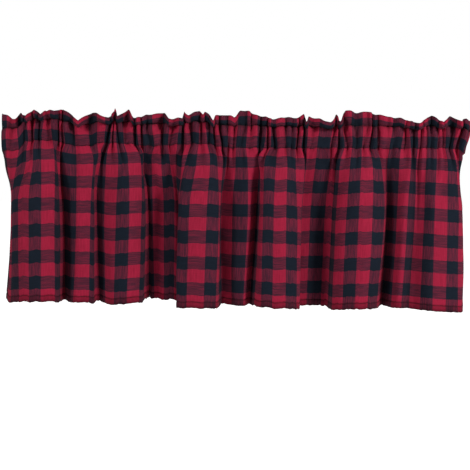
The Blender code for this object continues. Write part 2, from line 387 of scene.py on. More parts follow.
def hollow_shade(depth: np.ndarray, reach: int, deepest: float, darkest: float) -> np.ndarray:
    """Works out the painted shade in the hollows of a folded cloth: how much light they keep.

    A point's hollow is how far it lies behind the mean of its row within reach. The light falls from
    1 in front by an easing curve to 1 less the darkest share at the deepest hollow.

    Args:
        depth: places along Y in millimetres, rows by columns.
        reach: how many columns the mean takes in to each side.
        deepest: the hollow that is darkest, in millimetres.
        darkest: the share of light that is lost there.

    Returns:
        The light that is kept, rows by columns, up to 1.
    """
    padded = np.pad(depth, ((0, 0), (reach + 1, reach)), mode="edge")
    sums = np.cumsum(padded, axis=1)
    mean = (sums[:, 2 * reach + 1 :] - sums[:, : -2 * reach - 1]) / (2 * reach + 1)
    return 1 - darkest * ease((depth - mean) / deepest)


def sheet_object(
    name: str, grid: np.ndarray, uv: np.ndarray, thickness: np.ndarray, shade: np.ndarray
) -> bpy.types.Object:
    """Makes a sheet of cloth from a grid of points, with its flat map, thickness and painted shade.

    Args:
        name: the piece's name.
        grid: rows by columns by 3, in millimetres, rows running down the cloth's front.
        uv: rows by columns by 2, each point's place on the flat cloth, from 0 to 1.
        thickness: rows by columns, the cloth's thickness in millimetres.
        shade: rows by columns, the painted shade: the share of its colour that the cloth keeps in its
            hollows.

    Returns:
        The object, whose Solidify gives each face its thickness, half to each side.
    """
    rows, columns = grid.shape[:2]
    index = np.arange(rows * columns).reshape(rows, columns)
    quads = np.stack([index[:-1, :-1], index[1:, :-1], index[1:, 1:], index[:-1, 1:]], axis=-1)
    quads = quads.reshape(-1, 4)
    mesh = bpy.data.meshes.new(name)
    mesh.vertices.add(rows * columns)
    mesh.vertices.foreach_set("co", (grid * MM).astype(np.float32).ravel())
    mesh.loops.add(quads.size)
    mesh.loops.foreach_set("vertex_index", quads.astype(np.int32).ravel())
    mesh.polygons.add(len(quads))
    mesh.polygons.foreach_set("loop_start", np.arange(0, quads.size, 4, dtype=np.int32))
    mesh.update(calc_edges=True)
    flat = mesh.uv_layers.new(name="flat_cloth")
    flat.uv.foreach_set("vector", uv.reshape(-1, 2)[quads.ravel()].astype(np.float32).ravel())
    # The painted shade is kept as a point attribute, which the material multiplies into the colour.
    kept = mesh.attributes.new("shade", "FLOAT", "POINT")
    kept.data.foreach_set("value", shade.astype(np.float32).ravel())
    mesh.shade_smooth()
    piece = bpy.data.objects.new(name, mesh)
    bpy.context.scene.collection.objects.link(piece)
    most = float(thickness.max())
    layers = piece.vertex_groups.new(name="layers")
    for share in np.unique(np.round(thickness / most, 2)):
        chosen = np.flatnonzero(np.round(thickness.ravel() / most, 2) == share)
        layers.add(chosen.tolist(), float(share), "REPLACE")
    solid = piece.modifiers.new("cloth thickness", "SOLIDIFY")
    solid.thickness = most * MM
    solid.offset = 0.0
    solid.vertex_group = layers.name
    return piece


@dataclass(frozen=True)
class Skirt:
    """The single layer under the pocket, with its side hems and lower hem."""

    cloth: Cloth
    pocket_height: float = 41.0
    seam_gap: float = 0.3
    length: float = 325.0
    place_levels: tuple[float, ...] = (0.0, 42.0, 128.0, 325.0)
    fold_opens: tuple[float, ...] = (0.0, 0.48, 0.88, 1.0)
    forward: float = 3.0
    forward_level: float = 25.0
    lift_fade: float = 45.0
    sag_fade: float = 70.0
    pinch_fade: float = 16.0
    pinch_lean: float = 0.002
    ripple_level: float = 60.0
    ripple_waves: tuple[tuple[float, float, float, float], ...] = (
        (0.55, 1.9, 0.021, 0.4),
        (0.40, 3.1, -0.034, 1.9),
        (0.22, 5.3, 0.060, 4.0),
    )
    crease_ends: tuple[float, float] = (4.0, 1.6)
    tuck_swell: float = 0.15
    swell_level: float = 18.0
    tuck_power: float = 1.1
    reach_stretch: float = 1.5
    least_drop: float = 0.8
    hem: float = 12.0
    side_hem: float = 7.0
    hem_groove: float = 0.7
    hem_pucker: float = 0.45
    groove_width: float = 2.2
    pucker_width: float = 3.0
    # Painted shade: the colour is darkened in the hollows between the folds and in the tucks, on the doubled
    # hems, along the hem's stitch line and along the cut edges.
    hollow_reach: int = 26
    deepest_hollow: float = 34.0
    darkest: float = 0.42
    tuck_hollow_shade: tuple[int, float, float] = (5, 5.0, 0.35)
    hem_shade: float = 0.66
    stitch_shade: tuple[float, float] = (0.5, 1.5)
    edge_shade: float = 0.6
    edge_width: float = 1.6
    column_count: int = 620
    row_count: int = 72
    row_power: float = 1.25
    hem_rows: int = 12
    hem_reach: float = 5.0

    def tuck_share(self, check: np.ndarray, level: np.ndarray) -> np.ndarray:
        """How much of the gathers is left: they swell a little under the seam and run out at the end
        of their pucker, by easing curves.

        Args:
            check: the columns, in checks.
            level: the rows, in millimetres under the seam.

        Returns:
            The share of the gathers' depth, rows by columns.
        """
        swell = 1 + self.tuck_swell * ease(level / self.swell_level)
        part = level / (self.cloth.pucker_column(check, "reach") * self.reach_stretch)
        return swell * (1 - ease(part)) ** self.tuck_power

    def creases(self, check: np.ndarray, level: np.ndarray) -> np.ndarray:
        """The soft creases: each a bell across its width, easing in and out along its length.

        Args:
            check: the columns, in checks.
            level: the rows, in millimetres under the seam.

        Returns:
            The creases' height in millimetres, rows by columns.
        """
        starts, ends = self.crease_ends
        total = np.zeros(np.broadcast(check, level).shape)
        for crease in CREASES:
            part = (level - crease.top) / (crease.bottom - crease.top)
            along = ease(starts * part) * (1 - ease(ends * part + 1 - ends))
            across = (check - crease.check - crease.lean * part) / crease.width
            total += crease.rise * along * np.exp(-(across**2))
        return total

    def ripples(self, check: np.ndarray, level: np.ndarray) -> np.ndarray:
        """Low waves that keep the cloth from looking pressed: a sum of slanted sines."""
        waves = self.ripple_waves
        return sum(size * np.sin(a * check + b * level + start) for size, a, b, start in waves)

    def hem_relief(self, check: np.ndarray, level: np.ndarray) -> np.ndarray:
        """Works out the hem's relief: its stitches draw the cloth in, as a bell-shaped groove along
        their line, and pucker it, as a drifting sine in a wider bell.

        Args:
            check: the columns, in checks.
            level: the rows, in millimetres under the seam.

        Returns:
            The relief in millimetres, rows by columns.
        """
        away = (level - (self.length - self.hem)) / self.groove_width
        groove = -self.hem_groove * np.exp(-(away**2))
        wave = np.sin(5.6 * check + 1.3 * np.sin(1.9 * check))
        return groove + self.hem_pucker * wave * np.exp(-((away / self.pucker_width) ** 2))

    def surface(self, check: np.ndarray, level: np.ndarray) -> np.ndarray:
        """Works out the skirt's middle surface.

        Each row of the cloth passes through the fold table's places at its level, pushed out or back
        by the fold's depth there. The tucks, creases and ripples are added square to the row. The
        cloth keeps its length, so where it runs forward, back or sideways it reaches less far down.

        Args:
            check: the columns, in checks.
            level: the rows, in millimetres of cloth under the lower seam.

        Returns:
            Points in millimetres, rows by columns by 3.
        """
        places = [self.cloth.fold_column(check, name) for name in ("pocket", "gathers", "middle", "hem")]
        across = smooth(level, self.place_levels, np.array(places))
        opened = smooth(level, self.place_levels, self.fold_opens)[:, None]
        depth = -self.cloth.fold_column(check, "out")[None, :] * opened
        depth = depth - self.forward * ease(level / self.forward_level)[:, None]
        side_x, side_y = level_normals(across, depth)
        columns, rows = check[None, :], level[:, None]
        relief = self.cloth.gathers(columns) * self.tuck_share(columns, rows)
        relief = relief + self.creases(columns, rows) + self.hem_relief(columns, rows)
        relief = relief + self.ripples(columns, rows) * ease(rows / self.ripple_level)
        pinches = self.cloth.pinches(columns + self.pinch_lean * rows)
        relief = relief + pinches * np.exp(-rows / self.pinch_fade)
        across, depth = across + side_x * relief, depth + side_y * relief
        taken = 1 - np.exp(-level / self.lift_fade)
        strips = np.diff(level)[:, None] - np.diff(taken)[:, None] * self.cloth.fold_column(check, "lift")
        run = np.hypot(np.diff(across, axis=0), np.diff(depth, axis=0))
        drops = np.sqrt(np.maximum(strips**2 - run**2, (self.least_drop * strips) ** 2))
        top = -self.pocket_height / 2 - self.seam_gap
        height = top - np.concatenate((np.zeros((1, len(check))), np.cumsum(drops, axis=0)))
        height = height + self.cloth.sag(columns) * np.exp(-rows / self.sag_fade)
        return np.stack([across, depth, height], axis=-1)

    def levels(self) -> np.ndarray:
        """The rows of the mesh, closer together under the seam and at the hem."""
        upper = self.length * np.linspace(0.0, 1.0, self.row_count - self.hem_rows) ** self.row_power
        hem = self.length - self.hem + np.linspace(-self.hem_reach, self.hem_reach, self.hem_rows)
        return np.unique(np.concatenate((upper, hem)))

    def build(self) -> bpy.types.Object:
        """Makes the skirt as one sheet, twice as thick in its hems.

        Returns:
            The object.
        """
        check, level = self.cloth.columns(self.column_count), self.levels()
        grid = self.surface(check, level)
        uv = self.cloth.flat_map(check, level[:, None] / self.length)
        from_side = np.minimum(check - self.cloth.first_check, self.cloth.last_check - check)
        from_side = from_side[None, :] * self.cloth.check_size
        from_edge = np.minimum(from_side, self.length - level[:, None])
        hemmed = (from_side < self.side_hem) | (level[:, None] > self.length - self.hem)
        thickness = self.cloth.thickness * np.where(hemmed, 2.0, 1.0)
        # Painted shade, multiplied together: the hollows between the folds, the tucks' hollows, the doubled
        # hems, the cut edges and the hem's stitch line.
        wide = hollow_shade(grid[..., 1], self.hollow_reach, self.deepest_hollow, self.darkest)
        narrow = hollow_shade(grid[..., 1], *self.tuck_hollow_shade)
        shade = wide * narrow * np.where(hemmed, self.hem_shade, 1.0)
        shade = shade * np.where(from_edge < self.edge_width, self.edge_shade, 1.0)
        from_stitch = (level[:, None] - self.length + self.hem) / self.stitch_shade[1]
        shade = shade * (1 - self.stitch_shade[0] * np.exp(-(from_stitch**2)))
        return sheet_object("skirt_cloth", grid, uv, thickness, shade)

    def sew(self, stitching: "Stitching") -> bpy.types.Object:
        """Sews the lower hem and both side hems, on the front and on the back.

        Args:
            stitching: the stitches to sew with.

        Returns:
            The stitches, as one object.
        """
        check, level = self.cloth.columns(self.column_count), self.levels()
        grid = self.surface(check, level)
        columns = np.arange(len(check), dtype=float)
        rows = np.arange(len(level), dtype=float)
        hem = np.interp(self.length - self.hem, level, rows)
        aside = self.side_hem / self.cloth.width * (len(check) - 1)
        above = rows[rows < hem - 1]
        off = self.cloth.thickness
        lines = []
        for side in Side:
            lines.append(stitching.line(grid, np.full(len(columns), hem), columns, side, off))
            for column in (aside, columns[-1] - aside):
                lines.append(stitching.line(grid, above, np.full(len(above), column), side, off))
        return stitching.piece("skirt_stitching", lines)

    def dress(self, piece: bpy.types.Object, cotton: "CheckedCotton") -> None:
        """Gives the skirt its cloth, attaches it to the body and hides the frame's skirt part.

        Args:
            piece: the skirt.
            cotton: the finish that it gets.
        """
        piece.data.materials.append(cotton.build("skirt cotton", self.length / self.cloth.check_size, 0.0))
        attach(piece, BODY)
        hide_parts("skirt")


@dataclass(frozen=True)
class Heading:
    """The doubled top of the cloth: the rod pocket between two seams, and the ruffled header."""

    cloth: Cloth
    pocket_height: float = 41.0
    pocket_cloth: float = 50.0
    pocket_front: float = 5.0
    rod_high: float = 0.7
    pocket_back: float = 9.0
    pocket_tuck: float = 1.0
    seam_eases: float = 0.45
    sewn: float = 0.45
    lap: float = 1.0
    header_cloth: float = 31.0
    tip: float = 6.0
    upright_reach: float = 26.0
    level_reach: float = 5.0
    ruffle_back: float = 0.15
    ruffle_bend: float = 4.0
    start_angles: tuple[float, float] = (-30.0, 90.0)
    trial_count: int = 61
    edge_sharpness: float = 0.7
    ruffle_opens: float = 0.2
    seam_width: float = 1.0
    puff: float = 0.8
    puff_power: float = 0.8
    puff_closes: float = 0.12
    pinch_reach: float = 9.0
    pinch_lean: float = 0.12
    sway_waves: tuple[tuple[float, float, float], ...] = (
        (3.2, 0.047, 0.7),
        (2.1, 0.101, 2.1),
        (1.4, 0.19, 4.0),
    )
    left_end_sway: float = 1.0
    right_end_sway: float = 9.0
    # Painted shadow of the ruffles on the pocket, painted shade inside the ruffles near the seam and along
    # the fold's edge, and painted shade in the gathers' hollows.
    ruffle_shadow: tuple[float, float] = (0.45, 5.0)
    header_shadow: tuple[float, float] = (0.50, 0.45)
    edge_shade: float = 0.6
    edge_width: float = 1.5
    gather_shade: tuple[int, float, float] = (5, 4.5, 0.5)
    fold_drift: tuple[float, float, float] = (0.25, 1.3, 0.5)
    seam_row: float = 1.4
    column_count: int = 620
    pocket_rows: int = 17
    header_rows: int = 13

    def across(self, check: np.ndarray, part: np.ndarray) -> np.ndarray:
        """Where the columns lie along the rod, at a part of the way from the lower seam to the upper.

        At the lower seam they follow the fold table. On the way up they sway to one side or the
        other by a sum of sines, and the two ends lean out by their own measure.
        """
        along = self.cloth.fold_column(check, "pocket")
        sway = sum(size * np.sin(turns * along + start) for size, turns, start in self.sway_waves)
        first = ease((self.cloth.first_check + 2.0 - check) / 2.0)
        last = ease((check - self.cloth.last_check + 2.0) / 2.0)
        sway = sway * (1 - first - last) + self.left_end_sway * first + self.right_end_sway * last
        return along + sway * ease(part)

    def depth(self, check: np.ndarray, part: np.ndarray) -> np.ndarray:
        """The gathers' depth on the same way up: the lower seam's gathers fade into the upper seam's,
        which are shifted by a slow sine.

        Args:
            check: the columns, in checks.
            part: the part of the way from the lower seam to the upper.

        Returns:
            The depth in millimetres.
        """
        size, turns, start = self.fold_drift
        drift = size * np.sin(turns * check + start)
        upper, lower = self.cloth.gathers(check + drift), self.cloth.gathers(check)
        return upper * part + lower * (1 - part)

    def pocket_wall(self, check: np.ndarray, side: Side, turns: np.ndarray) -> np.ndarray:
        """Works out one wall of the pocket.

        A row lies at an angle round the rod, from -90 degrees at the lower seam to 90 at the upper
        one: its height is half the pocket's times the sine, and its depth is the bulge times the
        cosine. The gathers run through it, and the wall lies a little off the seam's line, square to
        the row, so that the two walls don't touch.

        Args:
            check: the columns, in checks.
            side: the front or the back wall.
            turns: the rows' angles in radians.

        Returns:
            Points in millimetres, rows by columns by 3.
        """
        columns, turn = check[None, :], turns[:, None]
        part = (1 + np.sin(turn)) / 2
        bulge = self.pocket_front if side is Side.FRONT else self.pocket_back
        gathers = self.depth(columns, part)
        depth = -gathers * (1 - self.seam_eases * np.cos(turn) ** 2)
        bulge = (bulge + self.pocket_tuck * gathers) * np.cos(turn)
        depth = depth - side.value * bulge * (1 + self.rod_high * np.sin(turn))
        from_seam = self.pocket_height / 2 * (1 - np.abs(np.sin(turn)))
        leaning = columns + self.pinch_lean * np.sign(np.sin(turn)) * from_seam / self.pinch_reach
        depth = depth - self.cloth.pinches(leaning) * np.exp(-from_seam / self.pinch_reach)
        across = self.across(columns, part)
        side_x, side_y = level_normals(across, depth)
        off = self.sewn * side.value
        height = self.pocket_height / 2 * np.sin(turn) + self.cloth.sag(columns)
        height = height - self.lap * (turn == turns.min())
        return np.stack([across + side_x * off, depth + side_y * off, height], axis=-1)

    def ruffle_column(self, check: np.ndarray, name: str) -> np.ndarray:
        """One column of the ruffle table: straight between the turning points, and rounded a little.

        Args:
            check: the places to read, in checks.
            name: the column's name.

        Returns:
            The column's values there.
        """
        places = [ruffle.place for ruffle in RUFFLES]
        values = [getattr(ruffle, name) for ruffle in RUFFLES]
        along = np.clip(self.cloth.fold_column(check, "pocket"), places[0], places[-1])
        straight, rounded = np.interp(along, places, values), smooth(along, places, values)
        return self.edge_sharpness * straight + (1 - self.edge_sharpness) * rounded

    def header_wall(self, check: np.ndarray, side: Side, parts: np.ndarray) -> np.ndarray:
        """Works out one layer of the header.

        The cloth keeps its length from the upper seam to the edge. Its slope turns from a start
        angle at the seam to upright under the tip, as a power of the way, and the tip stands
        upright. Each column's start angle is the one that brings its edge to the ruffle's height.
        Low ruffles lean forward by their whole reach and tall ones hardly at all. The layers puff
        apart between seam and edge.

        Args:
            check: the columns, in checks.
            side: the front or the back layer.
            parts: the rows' parts of the cloth, rising evenly from 0 at the seam to 1 at the edge.

        Returns:
            Points in millimetres, rows by columns by 3.
        """
        columns, part = check[None, :], parts[:, None]
        rise = self.ruffle_column(check, "height")
        turned = np.clip(part / (1 - self.tip / self.header_cloth), 0.0, 1.0) ** self.ruffle_bend
        trial = np.radians(np.linspace(*self.start_angles, self.trial_count))[None, :]
        step = self.header_cloth / (len(parts) - 1)
        reached = (np.sin(trial + (np.pi / 2 - trial) * turned)[1:]).sum(axis=0) * step
        start = np.interp(rise, reached, trial[0])[None, :]
        angle = start + (np.pi / 2 - start) * turned
        risen, gone = np.sin(angle) * step, np.cos(angle) * step
        risen[0], gone[0] = 0.0, 0.0
        leans = 1 - ease((rise - self.level_reach) / (self.upright_reach - self.level_reach))
        leans = leans * (1 + self.ruffle_back) - self.ruffle_back
        depth = -self.depth(columns, 1.0) * (1 + self.ruffle_opens * part)
        depth = depth - self.cloth.pinches(columns) * np.exp(-part * self.header_cloth / self.pinch_reach)
        depth = depth - np.cumsum(gone, axis=0) * leans
        height = self.pocket_height / 2 + self.seam_width + self.cloth.sag(columns)
        height = height + np.cumsum(risen, axis=0)
        across = self.across(columns, 1.0) + 0.0 * part
        middle = np.stack(np.broadcast_arrays(across, depth, height), axis=-1)
        square = np.cross(np.gradient(middle, axis=1), np.gradient(middle, axis=0))
        square = square / np.linalg.norm(square, axis=-1, keepdims=True)
        apart = self.sewn + self.puff * np.sin(np.pi * np.clip(part, 0.0, 1.0)) ** self.puff_power
        apart = apart * np.sqrt(np.clip((1.0 - part) / self.puff_closes, 0.0, 1.0))
        return middle + square * (apart * side.value)[..., None]

    def surface(self, check: np.ndarray) -> tuple[np.ndarray, np.ndarray, np.ndarray]:
        """Lays the strip's rows one after another: up the pocket's back, over the header, down its front.

        Args:
            check: the columns, in checks.

        Returns:
            The points in millimetres, the pocket rows' angles from the top, and the header rows' parts.
        """
        turns = np.radians(np.linspace(90.0, -90.0, self.pocket_rows))
        parts = np.linspace(0.0, 1.0, self.header_rows)
        walls = [
            self.pocket_wall(check, Side.BACK, turns[::-1]),
            self.header_wall(check, Side.BACK, parts),
            self.header_wall(check, Side.FRONT, parts)[::-1][1:],
            self.pocket_wall(check, Side.FRONT, turns),
        ]
        return np.concatenate(walls), turns, parts

    def sew(self, stitching: "Stitching") -> bpy.types.Object:
        """Sews the two rows that close the pocket, seen on its front and on its back.

        Args:
            stitching: the stitches to sew with.

        Returns:
            The stitches, as one object.
        """
        check = self.cloth.columns(self.column_count)
        grid = self.surface(check)[0]
        columns = np.arange(len(check), dtype=float)
        last, off = len(grid) - 1.0, self.cloth.thickness / 2
        upper = self.pocket_rows - 1 - self.seam_row
        lines = [
            stitching.line(grid, np.full(len(columns), row), columns, Side.FRONT, off)
            for row in (self.seam_row, upper, last - upper, last - self.seam_row)
        ]
        return stitching.piece("heading_stitching", lines)

    def build(self) -> bpy.types.Object:
        """Makes the heading as one strip: up the pocket's back, over the header and down its front.

        Returns:
            The object.
        """
        check = self.cloth.columns(self.column_count)
        grid, turns, parts = self.surface(check)
        pocket = np.linspace(0.0, self.pocket_cloth - self.seam_width / 2, self.pocket_rows)[:, None]
        pocket = pocket + 0.0 * check
        fold = self.strip / 2 - (self.ruffle_column(check, "band") - self.tip)
        seam = self.pocket_cloth + self.seam_width / 2
        seams = seam, self.strip - seam
        back = seams[0] + (fold - seams[0]) * parts[:, None]
        front = seams[1] + (fold - seams[1]) * parts[:, None]
        down = np.concatenate((pocket, back, front[::-1][1:], self.strip - pocket[::-1]))
        uv = self.cloth.flat_map(check, down / self.strip)
        thickness = np.full(grid.shape[:2], self.cloth.thickness)
        # Painted shade: each row's painted shadow and shade from shade(), times darkening in the gathers'
        # hollows.
        shade = self.shade(turns, parts)[:, None] * hollow_shade(grid[..., 1], *self.gather_shade)
        return sheet_object("heading_cloth", grid, uv, thickness, shade)

    def shade(self, turns: np.ndarray, parts: np.ndarray) -> np.ndarray:
        """Works out each row's painted shade: the pocket under the ruffles, the ruffles' inside near the seam
        and the very edge of the fold are darkened as painted shadow, by exponentials of the way from the
        seam.

        Args:
            turns: the pocket rows' angles.
            parts: the header rows' parts.

        Returns:
            The share of colour that each row of the strip keeps under the painted shade, from the back's
            lower seam round to the front's.
        """
        under = self.pocket_height / 2 * (1 - np.sin(turns))
        pocket = 1 - self.ruffle_shadow[0] * np.exp(-under / self.ruffle_shadow[1])
        header = 1 - self.header_shadow[0] * np.exp(-parts / self.header_shadow[1])
        header = np.where(parts > 1 - self.edge_width / self.header_cloth, self.edge_shade, header)
        return np.concatenate((pocket[::-1], header, header[::-1][1:], pocket))

    @property
    def strip(self) -> float:
        """The flat height of the doubled strip, from one lower seam to the other."""
        return 2 * (self.pocket_cloth + self.header_cloth)

    def dress(self, piece: bpy.types.Object, cotton: "CheckedCotton") -> None:
        """Gives the heading its cloth, attaches it to the body and hides the frame's heading part.

        Args:
            piece: the heading.
            cotton: the finish that it gets.
        """
        checks = self.strip / self.cloth.check_size
        piece.data.materials.append(cotton.build("heading cotton", checks, -checks))
        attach(piece, BODY)
        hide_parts("heading")


@dataclass(frozen=True)
class Stitching:
    """Rows of machine stitches, each a small closed bead of thread that lies on a finished sheet."""

    bead: float = 2.5
    pitch: float = 3.1
    radius: float = 0.3
    sides: int = 5
    sink: float = 0.05
    stations: tuple[tuple[float, float], ...] = (
        (-1.0, 0.0),
        (-0.7, 0.8),
        (0.0, 1.0),
        (0.7, 0.8),
        (1.0, 0.0),
    )

    def read(self, grid: np.ndarray, rows: np.ndarray, columns: np.ndarray) -> np.ndarray:
        """Reads points of a sheet between its rows and columns, by mixing the four points around each.

        Args:
            grid: the sheet's points, rows by columns by 3.
            rows: the rows to read, as fractions.
            columns: the columns to read, one for each of the rows.

        Returns:
            The points, one row each.
        """
        rows = np.clip(rows, 0, grid.shape[0] - 1.001)
        columns = np.clip(columns, 0, grid.shape[1] - 1.001)
        row, column = rows.astype(int), columns.astype(int)
        down, along = (rows - row)[:, None], (columns - column)[:, None]
        upper = grid[row, column] * (1 - along) + grid[row, column + 1] * along
        lower = grid[row + 1, column] * (1 - along) + grid[row + 1, column + 1] * along
        return upper * (1 - down) + lower * down

    def line(
        self, grid: np.ndarray, rows: np.ndarray, columns: np.ndarray, side: Side, off: float
    ) -> np.ndarray:
        """Works out the beads of one row of stitches.

        The row is walked in even steps of its length. Each bead's rings are circles about its line,
        its long axis follows the row, and its middle lies off the cloth, square to it.

        Args:
            grid: the sheet's points in millimetres, rows by columns by 3.
            rows: the rows that the line passes, as fractions, one for each point of the way.
            columns: the columns that it passes.
            side: the side of the cloth that it lies on.
            off: how far the cloth's face is from its middle, in millimetres.

        Returns:
            Points, beads by stations by sides by 3.
        """
        way = self.read(grid, rows, columns)
        walked = np.concatenate(([0.0], np.cumsum(np.linalg.norm(np.diff(way, axis=0), axis=1))))
        steps = np.arange(self.pitch, walked[-1] - self.pitch, self.pitch)
        row, column = np.interp(steps, walked, rows), np.interp(steps, walked, columns)
        behind, ahead = (
            self.read(grid, np.interp(steps + shift, walked, rows), np.interp(steps + shift, walked, columns))
            for shift in (-1, 1)
        )
        along = ahead - behind
        down = self.read(grid, row + 0.3, column) - self.read(grid, row - 0.3, column)
        right = self.read(grid, row, column + 0.3) - self.read(grid, row, column - 0.3)
        out = np.cross(down, right) * side.value
        along, out = (part / np.linalg.norm(part, axis=1, keepdims=True) for part in (along, out))
        across = np.cross(along, out)
        middle = self.read(grid, row, column) + out * (off + self.radius - self.sink)
        turn = np.linspace(0.0, 2 * np.pi, self.sides, endpoint=False)
        place, swell = np.array(self.stations).T
        ring = np.cos(turn)[:, None] * across[:, None, :] + np.sin(turn)[:, None] * out[:, None, :]
        ring = ring[:, None] * (swell * self.radius)[None, :, None, None]
        core = middle[:, None] + along[:, None] * (place * self.bead / 2)[None, :, None]
        return core[:, :, None] + ring

    def piece(self, name: str, lines: list[np.ndarray]) -> bpy.types.Object:
        """Joins rows of beads into one mesh, with a single point at both ends of each bead.

        Args:
            name: the piece's name.
            lines: the rows' points, as line gives them.

        Returns:
            The object.
        """
        beads = np.concatenate(lines)
        count, stations, sides = beads.shape[:3]
        rings = beads[:, 1:-1].reshape(count, -1, 3)
        points = np.concatenate((rings, beads[:, :1, 0], beads[:, -1:, 0]), axis=1)
        each = points.shape[1]
        here = np.arange(sides)
        after = (here + 1) % sides
        last = (stations - 3) * sides
        caps = [np.stack((after, here, np.full(sides, each - 2)), axis=1)]
        caps.append(np.stack((here + last, after + last, np.full(sides, each - 1)), axis=1))
        quads = [
            np.stack((here, after, after + sides, here + sides), axis=1) + ring * sides
            for ring in range(stations - 3)
        ]
        first = (np.arange(count) * each)[:, None, None]
        faces = []
        for group in (np.concatenate(caps), np.concatenate(quads)):
            faces += (group[None] + first).reshape(-1, group.shape[1]).tolist()
        mesh = bpy.data.meshes.new(name)
        mesh.from_pydata((points.reshape(-1, 3) * MM).tolist(), [], faces)
        mesh.shade_smooth()
        stitches = bpy.data.objects.new(name, mesh)
        bpy.context.scene.collection.objects.link(stitches)
        return stitches


class NodeDesk:
    """A small helper that lays out shader nodes in one tree."""

    def __init__(self, tree: bpy.types.NodeTree) -> None:
        """Keeps the tree that the nodes go into."""
        self.tree = tree

    def put(self, kind: str, **settings: object) -> bpy.types.Node:
        """Adds a node and sets its properties.

        Args:
            kind: the node's type.
            **settings: its properties, by name.

        Returns:
            The node.
        """
        node = self.tree.nodes.new(kind)
        for name, value in settings.items():
            setattr(node, name, value)
        return node

    def feed(self, socket: bpy.types.NodeSocket, value: object) -> None:
        """Links a socket to another, or sets it to a plain value.

        Args:
            socket: the input that is fed.
            value: an output to link, or a number or colour to set.
        """
        if isinstance(value, bpy.types.NodeSocket):
            self.tree.links.new(value, socket)
        else:
            socket.default_value = value

    def settle(self, node: bpy.types.Node, values: dict[str, object]) -> None:
        """Feeds several of a node's inputs, each found by its name."""
        for name, value in values.items():
            self.feed(node.inputs[name], value)

    def math(self, operation: str, *values: object) -> bpy.types.NodeSocket:
        """Adds a Math node.

        Args:
            operation: what it works out.
            *values: its inputs, in order.

        Returns:
            The result's socket.
        """
        node = self.put("ShaderNodeMath", operation=operation)
        for socket, value in zip(node.inputs, values):
            self.feed(socket, value)
        return node.outputs[0]

    def mix(
        self, part: object, first: object, second: object, blend: str = "MIX"
    ) -> bpy.types.NodeSocket:
        """Mixes two colours.

        Args:
            part: how much of the second colour is taken.
            first: the first colour.
            second: the second colour.
            blend: how they are mixed.

        Returns:
            The colour's socket.
        """
        node = self.put("ShaderNodeMix", data_type="RGBA", blend_type=blend)
        for name, value in (("Factor_Float", part), ("A_Color", first), ("B_Color", second)):
            self.feed(next(s for s in node.inputs if s.identifier == name), value)
        return next(s for s in node.outputs if s.identifier == "Result_Color")


def weave_group() -> bpy.types.NodeTree:
    """Makes the plain weave: which thread is on top, how high it stands, and its slubs.

    Threads are counted across and down. The warp is on top where the two counts add up to an even
    number. A thread's height is a half sine over its width. The slubs are noise drawn out along the
    weft and along the warp.

    Returns:
        The node group. It takes the checks counted across and down, and the threads in a check.
    """
    group = bpy.data.node_groups.new("plain weave", "ShaderNodeTree")
    sockets = group.interface
    for name in ("Across", "Down", "Threads"):
        sockets.new_socket(name, in_out="INPUT", socket_type="NodeSocketFloat")
    for name in ("Warp on top", "Height", "Slub", "Weft streak", "Warp streak"):
        sockets.new_socket(name, in_out="OUTPUT", socket_type="NodeSocketFloat")
    desk = NodeDesk(group)
    given, put_out = desk.put("NodeGroupInput"), desk.put("NodeGroupOutput")
    across = desk.math("MULTIPLY", given.outputs["Across"], given.outputs["Threads"])
    down = desk.math("MULTIPLY", given.outputs["Down"], given.outputs["Threads"])
    wave_a = desk.math("SINE", desk.math("MULTIPLY", across, np.pi))
    wave_d = desk.math("SINE", desk.math("MULTIPLY", down, np.pi))
    product = desk.math("MULTIPLY", wave_a, wave_d)
    on_top = desk.math("MULTIPLY_ADD", product, 2.2, 0.5)
    on_top = desk.math("MAXIMUM", desk.math("MINIMUM", on_top, 1.0), 0.0)
    height = desk.math("ABSOLUTE", product)
    slubs = []
    for stretch_a, stretch_d in ((1.3, 26.0), (30.0, 1.1), (0.9, 13.0), (13.0, 0.9)):
        place = desk.put("ShaderNodeCombineXYZ")
        desk.feed(place.inputs[0], desk.math("MULTIPLY", given.outputs["Across"], stretch_a))
        desk.feed(place.inputs[1], desk.math("MULTIPLY", given.outputs["Down"], stretch_d))
        noise = desk.put("ShaderNodeTexNoise", noise_dimensions="2D")
        desk.settle(noise, {"Vector": place.outputs[0], "Scale": 1.0, "Detail": 2.0})
        slubs.append(noise.outputs[0])
    slub = desk.math("MULTIPLY_ADD", slubs[0], 0.65, desk.math("MULTIPLY", slubs[1], 0.35))
    made = (on_top, height, slub, slubs[2], slubs[3])
    for socket, value in zip(put_out.inputs, made):
        desk.feed(socket, value)
    return group


